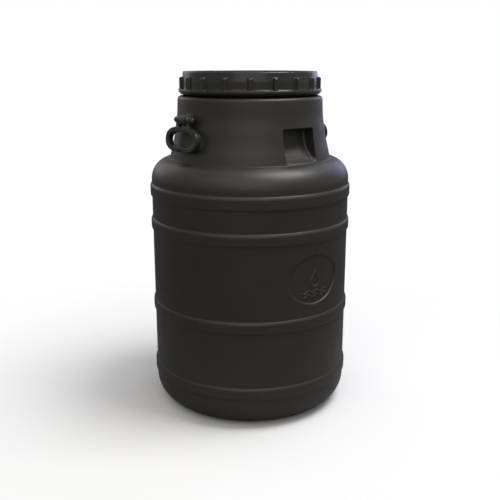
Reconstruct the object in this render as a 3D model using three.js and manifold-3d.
// Wide-neck plastic chemical drum, about 80 litres, with a screw lid and two swinging carry handles.
// Millimetres, +Z up. The origin is the centre of the base, on the surface that the drum stands on.
// The hand pockets face -Y and +Y, and the carry handles hang at -X (left) and +X (right).
import * as THREE from 'three';
import { mergeVertices } from 'three/addons/utils/BufferGeometryUtils.js';
import Module from 'manifold-3d';

// ---- driving dimensions ----------------------------------------------------------------------
const WALL = 3;                    // blown wall of the drum
const GAP = 0.3;                   // clearance between two pieces that meet
const SEGMENTS = 48;               // facets round the drum and the lid
const PIN_SIDES = 16;

// drum body
const BODY_R = 210;
const FOOT_INNER_R = 140;          // the flat foot ring runs from here to where the corner starts
const FOOT_RECESS = 8;             // the middle of the base is pushed up by this
const CORNER_R = 52.5;
const RIB_STEP = 3.3;              // how far a rib stands out
const RIB_BEVEL = 2.6;             // height of a rib's rounded edge
const RIBS = [[64.6, 91.9], [206.6, 232.8], [383.9, 410.6], [454.2, 483]];
const SHOULDER = { r: 168, z: 490, rise: 44 };
const NECK_FOOT_R = 169.5;
const NECK = [[165.9, 552], [161.2, 571], [156.7, 598], [153.6, 618], [151.5, 654]];
const NECK_EDGE_R = 7;             // round between the neck and the flat ledge

// threaded collar round the mouth
const COLLAR_R = 132.5;
const LEDGE_RISE = 2.6;            // the ledge climbs by this from the neck's edge to the collar
const MOUTH_R = 128;
const COLLAR_TOP = 691;
const PITCH = 8;                   // rise of the thread in one turn
const THREAD_DEPTH = 3.6;
const THREAD_ROOT = 3.4;           // axial width of a ridge at its root
const THREAD_CREST = 1.8;
const COLLAR_THREAD = { z: 667, from: 0, to: 2.4 };
const LID_THREAD = { z: 663.4, from: 1.05, to: 3.0 };

// the shell is one moulding, made as a stack of solids that end at these heights
const SHELL_TOPS = {
  drum_base: 52.5,
  drum_wall: 489,
  drum_shoulder: 534.3,
  drum_pocket_foot: 566,
  drum_pocket_band: 606.5,
  drum_neck: 657.5,
  drum_collar: COLLAR_TOP + WALL,
};

// screw lid
const LID_TOP = 710.7;
const LID_BOTTOM = 664.4;
const LID_R = 141.2;
const SKIRT_INNER_R = 137.6;
const FLANGE_R = 149;
const FLANGE = [670, 675.3];
const LID_PLATE = [695, 698.6];    // underside and top of the sunken plate
const RIM_FOOT_Z = 692;            // the rim leans in a little above this height
const RIM_INNER_R = 134.5;
const LUG_COUNT = 18;
const LUG_PHASE = THREE.MathUtils.degToRad(11.5);
const LUG_R = 147.6;
const LUG_WIDTH = 10.5;
const LUG_Z = [674.5, 700];
const LUG_ROUND = 3.5;             // how far a lug's top slopes back into the skirt

// gasket
const GASKET = { inner: 126, outer: 136.8, bottom: COLLAR_TOP + GAP, top: LID_PLATE[0] - GAP };

// hand pockets
const POCKET_HALF_WIDTH = 39.7;
const POCKET_CEILING = 602;
const SCOOP = [[126.4, 602], [127, 584], [128.6, 572], [138.4, 555.6], [149, 546.2], [161.9, 538.6], [174, 534.6]];
const POCKET_REACH = 200;          // the cut runs out past the shoulder

// oval badge panel with a liquid drop
const BADGE = { z: 309, halfWidth: 64.5, halfHeight: 50, depth: 2 };
const DROP = { r: 13, tip: 24, z: 305 };

// carry handles and their hinge
const PIN = { x: 166, z: 618, r: 4, headR: 6, halfLength: 33, headInner: 24.8 };
const LUG_BOSS = { r: 10, halfWidth: 12, rootX: 152, topZ: 630, bottomZ: 603 };
const KNUCKLE = { r: 7.3, from: 12.7, to: 24.3, holeR: 4.35 };
const LOOP = { z: 579, halfWidth: 55, halfHeight: 26, holeHalfWidth: 43.5, holeHalfHeight: 16, depth: 11 };
const LOOP_DENT = { outer: 4.5, inner: 2.5, spread: 15 };
const LOOP_CORNER = 2.5;           // exponent of the rounded outline: 2 is an ellipse, more is squarer
const LOOP_TILT = THREE.MathUtils.degToRad(6);
const LOOP_OFFSET = 0.3;           // the loop's middle plane stands this far outside the pin's axis

// ---- solids ----------------------------------------------------------------------------------
const wasm = await Module();
wasm.setup();

// Takes a closed geometry and gives a solid, with its faces turned outwards.
function solid(geometry) {
  const plain = geometry.clone();
  plain.deleteAttribute('normal');
  plain.deleteAttribute('uv');
  const merged = mergeVertices(plain, 1e-4);
  const position = merged.getAttribute('position').array;
  const index = merged.index.array;
  const triangles = [];
  let volume = 0;
  const corner = (i) => new THREE.Vector3().fromArray(position, 3 * i);
  for (let i = 0; i < index.length; i += 3) {
    const [a, b, c] = [index[i], index[i + 1], index[i + 2]];
    if (a === b || b === c || c === a) continue;
    triangles.push(a, b, c);
    volume += corner(a).dot(corner(b).cross(corner(c)));
  }
  const turned = volume < 0 ? triangles.reverse() : triangles;
  return new wasm.Manifold(new wasm.Mesh({
    numProp: 3,
    vertProperties: new Float32Array(position),
    triVerts: new Uint32Array(turned),
  }));
}

function geometryOf(body) {
  const { vertProperties, triVerts } = body.getMesh();
  const geometry = new THREE.BufferGeometry();
  geometry.setAttribute('position', new THREE.BufferAttribute(new Float32Array(vertProperties), 3));
  geometry.setIndex(new THREE.BufferAttribute(new Uint32Array(triVerts), 1));
  geometry.computeVertexNormals();
  return geometry;
}

// A profile of [radius, height] points turned round the Z axis. A hollow profile closes on itself.
function turned(profile, segments = SEGMENTS) {
  const points = profile.map(([r, z]) => new THREE.Vector2(r, z));
  return solid(new THREE.LatheGeometry(points, segments).rotateX(Math.PI / 2));
}

function ring(profile, segments = SEGMENTS) {
  return turned([...profile, profile[0]], segments);
}

// A flat outline of [x, z] points pushed along Y, from y = from to y = to.
function pushedAlongY(outline, from, to) {
  const shape = new THREE.Shape(outline.map(([x, z]) => new THREE.Vector2(x, z)));
  const geometry = new THREE.ExtrudeGeometry(shape, { depth: to - from, bevelEnabled: false });
  return solid(geometry.rotateX(Math.PI / 2).translate(0, to, 0));
}

// Points on an arc of an ellipse, both ends included. Angles are in degrees.
function arc(centreR, centreZ, halfR, halfZ, fromDeg, toDeg, steps) {
  return Array.from({ length: steps + 1 }, (_, i) => {
    const angle = THREE.MathUtils.degToRad(fromDeg + (toDeg - fromDeg) * i / steps);
    return [centreR + halfR * Math.cos(angle), centreZ + halfZ * Math.sin(angle)];
  });
}

// A cylinder along Y, centred on (x, z).
function rodAlongY(x, z, radius, from, to) {
  const rod = new THREE.CylinderGeometry(radius, radius, to - from, PIN_SIDES);
  return solid(rod.translate(x, (from + to) / 2, 0).translate(0, 0, z));
}

// ---- thread ----------------------------------------------------------------------------------
// One helical ridge: a trapezium swept up a helix, one step for each facet of its wall.
// outward is 1 for a ridge on the outside of a wall and -1 for one on the inside.
function threadRidge(wallR, outward, { z, from, to }) {
  const sunk = 0.9;                // the root is buried this deep in the wall
  const section = [
    [-sunk, -THREAD_ROOT / 2], [THREAD_DEPTH, -THREAD_CREST / 2],
    [THREAD_DEPTH, THREAD_CREST / 2], [-sunk, THREAD_ROOT / 2],
  ];
  const first = Math.round(from * SEGMENTS);
  const last = Math.round(to * SEGMENTS);
  const positions = [];
  for (let step = first; step <= last; step += 1) {
    const angle = 2 * Math.PI * step / SEGMENTS;
    const taper = Math.min(1, (step - first + 1) / 4, (last - step + 1) / 4);
    for (const [out, up] of section) {
      const r = wallR + outward * (out > 0 ? out * taper : out);
      positions.push(r * Math.cos(angle), r * Math.sin(angle), z + PITCH * step / SEGMENTS + up);
    }
  }
  const index = [0, 1, 2, 0, 2, 3];
  const sides = section.length;
  for (let step = 0; step < last - first; step += 1) {
    for (let side = 0; side < sides; side += 1) {
      const a = step * sides + side;
      const b = step * sides + (side + 1) % sides;
      index.push(a, a + sides, b, b, a + sides, b + sides);
    }
  }
  const end = (last - first) * sides;
  index.push(end, end + 2, end + 1, end, end + 3, end + 2);
  const geometry = new THREE.BufferGeometry();
  geometry.setAttribute('position', new THREE.Float32BufferAttribute(positions, 3));
  geometry.setAttribute('normal', new THREE.Float32BufferAttribute(positions.map(() => 0), 3));
  geometry.setAttribute('uv', new THREE.Float32BufferAttribute(new Array(positions.length / 3 * 2).fill(0), 2));
  geometry.setIndex(index);
  return solid(geometry);
}

// ---- drum body -------------------------------------------------------------------------------
const LEDGE_Z = NECK.at(-1)[1] + NECK_EDGE_R;
const EDGE_CENTRE_R = NECK.at(-1)[0] - NECK_EDGE_R;

function outerSkin() {
  const cornerCentre = BODY_R - CORNER_R;
  const ribs = RIBS.flatMap(([low, high]) => [
    [BODY_R, low], [BODY_R + RIB_STEP, low + RIB_BEVEL],
    [BODY_R + RIB_STEP, high - RIB_BEVEL], [BODY_R, high],
  ]);
  const shoulderEnd = THREE.MathUtils.radToDeg(Math.acos((NECK_FOOT_R - SHOULDER.r) / (BODY_R - SHOULDER.r)));
  return turned([
    [0, FOOT_RECESS], [FOOT_INNER_R - FOOT_RECESS, FOOT_RECESS], [FOOT_INNER_R, 0],
    ...arc(cornerCentre, CORNER_R, CORNER_R, CORNER_R, -90, 0, 6),
    ...ribs,
    ...arc(SHOULDER.r, SHOULDER.z, BODY_R - SHOULDER.r, SHOULDER.rise, 0, shoulderEnd, 6),
    ...NECK,
    ...arc(EDGE_CENTRE_R, LEDGE_Z - NECK_EDGE_R, NECK_EDGE_R, NECK_EDGE_R, 30, 90, 2),
    [COLLAR_R, LEDGE_Z + LEDGE_RISE], [COLLAR_R, COLLAR_TOP], [0, COLLAR_TOP],
  ]);
}

function insideSpace() {
  const cornerCentre = BODY_R - CORNER_R;
  const innerCorner = CORNER_R - WALL;
  return turned([
    [0, FOOT_RECESS + WALL], [FOOT_INNER_R - FOOT_RECESS + 1, FOOT_RECESS + WALL], [FOOT_INNER_R + 1, WALL],
    ...arc(cornerCentre, CORNER_R, innerCorner, innerCorner, -90, 0, 4),
    ...arc(SHOULDER.r - 1, SHOULDER.z, BODY_R - SHOULDER.r - WALL + 1, SHOULDER.rise - WALL, 0, 84, 4),
    ...NECK.map(([r, z]) => [r - WALL, z]),
    [EDGE_CENTRE_R, LEDGE_Z - WALL], [MOUTH_R, LEDGE_Z + LEDGE_RISE - WALL],
    [MOUTH_R, COLLAR_TOP + 1], [0, COLLAR_TOP + 1],
  ]);
}

// The space of a hand pocket at +Y, grown by a wall all round when thickness is given.
function pocketSpace(thickness = 0) {
  const grown = SCOOP.map(([y, z], i) => {
    const [y0, z0] = SCOOP[Math.max(i - 1, 0)];
    const [y1, z1] = SCOOP[Math.min(i + 1, SCOOP.length - 1)];
    const length = Math.hypot(y1 - y0, z1 - z0);
    return [y + thickness * (z1 - z0) / length, z - thickness * (y1 - y0) / length];
  });
  const outline = [
    [POCKET_REACH, POCKET_CEILING + thickness], [grown[0][0], POCKET_CEILING + thickness],
    ...grown.slice(1), [POCKET_REACH, SCOOP.at(-1)[1] - thickness],
  ];
  const halfWidth = POCKET_HALF_WIDTH + thickness;
  return pushedAlongY(outline, -halfWidth, halfWidth).rotate([0, 0, 90]);
}

// The lug at +X that carries a handle's pin. It is moulded onto the neck.
function handleLug() {
  const { r, halfWidth, rootX, topZ, bottomZ } = LUG_BOSS;
  const outline = [[rootX, bottomZ], ...arc(PIN.x, PIN.z, r, r, -60, 60, 8), [rootX, topZ]];
  const hole = rodAlongY(PIN.x, PIN.z, PIN.r + GAP, -halfWidth - 1, halfWidth + 1);
  return pushedAlongY(outline, -halfWidth, halfWidth).subtract(hole);
}

// The outline of a hanging liquid drop: a round belly, with straight flanks up to a point.
function dropOutline() {
  const flank = THREE.MathUtils.radToDeg(Math.asin(DROP.r / DROP.tip));
  const belly = arc(0, DROP.z, DROP.r, DROP.r, 180 - flank, 360 + flank, 14);
  return [...belly, [0, DROP.z + DROP.tip]];
}

function badgeCut() {
  const { z, halfWidth, halfHeight, depth } = BADGE;
  const oval = arc(0, z, halfWidth, halfHeight, 0, 360, 40).slice(0, -1);
  const core = turned([[0, z - 60], [BODY_R - depth, z - 60], [BODY_R - depth, z + 60], [0, z + 60]]);
  const panel = pushedAlongY(oval, -BODY_R - 10, -BODY_R + 30);
  return panel.subtract(pushedAlongY(dropOutline(), -BODY_R - 20, 0)).subtract(core);
}

function drumBody() {
  const mirrored = (part) => part.add(part.rotate([0, 0, 180]));
  const inside = insideSpace().subtract(mirrored(pocketSpace(WALL)));
  return outerSkin()
    .add(threadRidge(COLLAR_R, 1, COLLAR_THREAD))
    .add(mirrored(handleLug()))
    .subtract(inside)
    .subtract(mirrored(pocketSpace()))
    .subtract(badgeCut());
}

// The real drum is one moulding. It is parted at a few heights, with a small gap at each, so that
// every solid is a simple bowl, tube or ring, and the hollow inside stays open to other objects.
function drumSolids() {
  const names = Object.keys(SHELL_TOPS);
  const whole = drumBody();
  const heights = [-WALL, ...Object.values(SHELL_TOPS)];
  const reach = BODY_R + 10 * RIB_STEP;
  return names.map((name, i) => {
    const low = heights[i] + GAP / 2;
    const high = heights[i + 1] - GAP / 2;
    return [name, whole.intersect(turned([[0, low], [reach, low], [reach, high], [0, high]]))];
  });
}

// ---- lid and gasket --------------------------------------------------------------------------
function lidLug(angle) {
  const [low, high] = LUG_Z;
  const root = LID_R - 1.5;
  const outline = [
    [root, low], [LUG_R, low], [LUG_R, high - LUG_ROUND], [LUG_R - LUG_ROUND, high - 0.5], [root, high],
  ];
  return pushedAlongY(outline, -LUG_WIDTH / 2, LUG_WIDTH / 2).rotate([0, 0, THREE.MathUtils.radToDeg(angle)]);
}

function screwLid() {
  const [flangeLow, flangeHigh] = FLANGE;
  const [plateLow, plateHigh] = LID_PLATE;
  const shell = turned([
    [0, plateLow], [SKIRT_INNER_R, plateLow], [SKIRT_INNER_R, LID_BOTTOM],
    [SKIRT_INNER_R + 1.4, LID_BOTTOM], [FLANGE_R, flangeLow], [FLANGE_R, flangeHigh - 1],
    [FLANGE_R - 1, flangeHigh], [LID_R, flangeHigh + 0.6], [LID_R, RIM_FOOT_Z], [LID_R - 1, LID_TOP - 2.4],
    [LID_R - 3, LID_TOP],
    [RIM_INNER_R + 2, LID_TOP], [RIM_INNER_R, LID_TOP - 2], [RIM_INNER_R - 1.5, plateHigh], [0, plateHigh],
  ]);
  let lid = shell.add(threadRidge(SKIRT_INNER_R, -1, LID_THREAD));
  for (let i = 0; i < LUG_COUNT; i += 1) {
    lid = lid.add(lidLug(LUG_PHASE + 2 * Math.PI * i / LUG_COUNT));
  }
  return lid;
}

function lidGasket() {
  const { inner, outer, bottom, top } = GASKET;
  return ring([[inner, bottom], [outer, bottom], [outer, top], [inner, top]]);
}

// ---- handles and pins (built for the +X side) ---------------------------------------------------
// A rounded outline round the loop's centre, with its underside dented upwards in the middle.
function loopOutline(halfWidth, halfHeight, dent, steps = 36) {
  return Array.from({ length: steps }, (_, i) => {
    const angle = 2 * Math.PI * i / steps;
    const power = (value) => Math.sign(value) * Math.abs(value) ** (2 / LOOP_CORNER);
    const across = halfWidth * power(Math.cos(angle));
    const up = halfHeight * power(Math.sin(angle));
    const lift = up < 0 ? dent * Math.exp(-((across / LOOP_DENT.spread) ** 2)) : 0;
    return new THREE.Vector2(across, up + lift);
  });
}

// The loop lies in the plane of the handle: x across, y up, and its thickness outwards.
function handleLoop() {
  const shape = new THREE.Shape(loopOutline(LOOP.halfWidth, LOOP.halfHeight, LOOP_DENT.outer));
  shape.holes.push(new THREE.Path(loopOutline(LOOP.holeHalfWidth, LOOP.holeHalfHeight, LOOP_DENT.inner)));
  const geometry = new THREE.ExtrudeGeometry(shape, { depth: LOOP.depth, bevelEnabled: false });
  return geometry.translate(0, LOOP.z - PIN.z, LOOP_OFFSET - LOOP.depth / 2);
}

function handleArm(side) {
  const width = KNUCKLE.to - KNUCKLE.from;
  const height = PIN.z - LOOP.z - LOOP.holeHalfHeight - 3;
  const depth = LOOP.depth - 1.5;
  const arm = new THREE.BoxGeometry(width, height, depth);
  return arm.translate(side * (KNUCKLE.from + KNUCKLE.to) / 2, -height / 2, LOOP_OFFSET);
}

function handleKnuckle(side) {
  const knuckle = new THREE.CylinderGeometry(KNUCKLE.r, KNUCKLE.r, KNUCKLE.to - KNUCKLE.from, 20);
  return knuckle.rotateZ(Math.PI / 2).translate(side * (KNUCKLE.from + KNUCKLE.to) / 2, 0, 0);
}

function carryHandle() {
  const hole = new THREE.CylinderGeometry(KNUCKLE.holeR, KNUCKLE.holeR, 2 * PIN.halfLength, PIN_SIDES);
  let handle = solid(handleLoop());
  for (const side of [-1, 1]) {
    handle = handle.add(solid(handleArm(side))).add(solid(handleKnuckle(side)));
  }
  return handle.subtract(solid(hole.rotateZ(Math.PI / 2)));
}

// A pin and its push-on cap lie along the hinge's axis, with +Z towards the cap.
function hingePin() {
  const { r, headR, halfLength, headInner } = PIN;
  const dome = arc(0, -headInner - 2, headR, halfLength - headInner - 2, -90, 0, 4);
  return turned([
    ...dome, [headR, -headInner], [r, -headInner], [r, halfLength - 3], [0, halfLength - 3],
  ], PIN_SIDES);
}

function pinCap() {
  const { r, headR, halfLength, headInner } = PIN;
  const boreR = r + GAP;
  const dome = arc(0, headInner + 2, headR, halfLength - headInner - 2, 0, 90, 4);
  return turned([
    [0, halfLength - 3 + GAP], [boreR, halfLength - 3 + GAP], [boreR, headInner], [headR, headInner], ...dome,
  ], PIN_SIDES);
}

// ---- materials -------------------------------------------------------------------------------
const bodyPlastic = new THREE.MeshStandardMaterial({ color: 0x2e2d2b, roughness: 0.5, metalness: 0 });
const lidPlastic = new THREE.MeshStandardMaterial({ color: 0x32312e, roughness: 0.36, metalness: 0 });
const handlePlastic = new THREE.MeshStandardMaterial({ color: 0x2b2a29, roughness: 0.42, metalness: 0 });
const pinPlastic = new THREE.MeshStandardMaterial({ color: 0x333230, roughness: 0.35, metalness: 0 });
const sealRubber = new THREE.MeshStandardMaterial({ color: 0x1c1c1c, roughness: 0.8, metalness: 0 });

// ---- assembly --------------------------------------------------------------------------------
const group = new THREE.Group();

function place(name, body, material, parent = group) {
  const mesh = new THREE.Mesh(geometryOf(body), material);
  mesh.name = name;
  parent.add(mesh);
  return mesh;
}

for (const [name, body] of drumSolids()) {
  place(name, body, bodyPlastic);
}
place('screw_lid', screwLid(), lidPlastic);
place('lid_gasket', lidGasket(), sealRubber);

// Each side's group is turned to its side of the drum. The handle's own plane is stood upright
// in it, then tilted a little so that the loop hangs just clear of the flared neck.
for (const [sideName, turn] of [['left', Math.PI], ['right', 0]]) {
  const side = new THREE.Group();
  side.rotation.z = turn;
  group.add(side);

  const hinge = new THREE.Group();
  hinge.position.set(PIN.x, 0, PIN.z);
  side.add(hinge);

  const upright = new THREE.Matrix4().makeBasis(
    new THREE.Vector3(0, 1, 0), new THREE.Vector3(0, 0, 1), new THREE.Vector3(1, 0, 0),
  );
  const tilted = new THREE.Group();
  tilted.rotation.y = -LOOP_TILT;
  hinge.add(tilted);
  const handle = place(`${sideName}_handle`, carryHandle(), handlePlastic, tilted);
  handle.quaternion.setFromRotationMatrix(upright);

  for (const [pieceName, body] of [['handle_pin', hingePin()], ['pin_cap', pinCap()]]) {
    const piece = place(`${sideName}_${pieceName}`, body, pinPlastic, hinge);
    piece.rotation.x = -Math.PI / 2;
  }
}

export default group;
